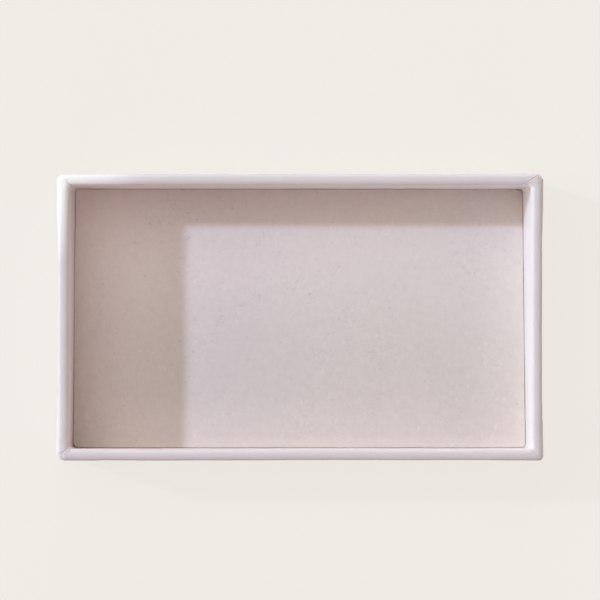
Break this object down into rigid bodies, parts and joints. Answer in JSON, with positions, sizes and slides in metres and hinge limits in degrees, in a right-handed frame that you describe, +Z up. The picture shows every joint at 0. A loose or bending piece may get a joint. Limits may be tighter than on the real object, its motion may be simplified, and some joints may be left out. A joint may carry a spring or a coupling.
{
  "type": "paper-wrapped cardboard tray",
  "caption": "Shallow rectangular rigid tray: greyboard base and walls wrapped in white paper turned over the rim, with a loose ivory card on its floor, for holding small flat goods.",
  "frame": {"origin": "centre of the underside, on the surface that the tray stands on", "axes": "+X along the long side, +Y along the short side towards the picture's upper edge, +Z up out of the open top"},
  "size_m": [0.1006, 0.0592, 0.02],
  "materials": {
    "wrap_paper": "smooth matt white wrapping paper with a faint cockle",
    "greyboard": "uncoated recycled greyboard with fibre flecks",
    "stay_tape": "brown gummed paper tape",
    "floor_card": "uncoated ivory card with a fine mottle"
  },
  "bodies": {
    "root": {"wrap": "wrap_paper", "board": "greyboard", "corner_stay_front_left": "stay_tape", "corner_stay_front_right": "stay_tape", "corner_stay_back_left": "stay_tape", "corner_stay_back_right": "stay_tape", "floor_card": "floor_card"}
  },
  "joints": []
}
